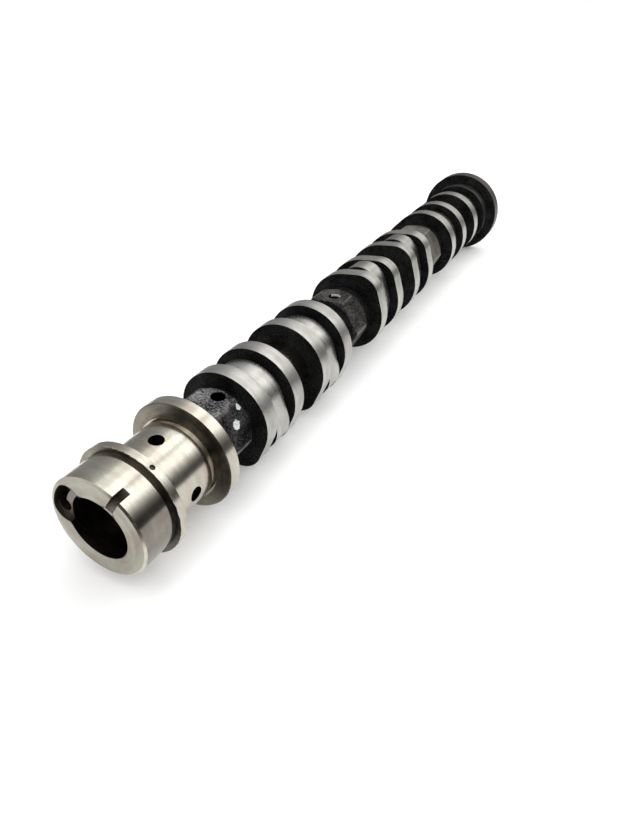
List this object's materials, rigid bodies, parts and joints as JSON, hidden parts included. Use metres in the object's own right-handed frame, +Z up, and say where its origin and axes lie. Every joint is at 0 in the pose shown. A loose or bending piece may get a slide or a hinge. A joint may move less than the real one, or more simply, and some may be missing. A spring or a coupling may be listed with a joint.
{
  "type": "camshaft",
  "caption": "Cast camshaft with groups of cam lobes, ground bearing journals, hexagonal sections, a bored and slotted drive nose, a thrust ring and a rear flange.",
  "frame": {"origin": "on the shaft's axis, at the open end face of the nose", "axes": "+Y along the shaft from the nose to the rear flange, +Z up as the shaft lies"},
  "size_m": [0.0502, 0.3648, 0.0502],
  "materials": {
    "iron": "ground bright on lobes, journals, rings and nose, dark as cast between them"
  },
  "bodies": {
    "root": {"camshaft": "iron"}
  },
  "joints": []
}
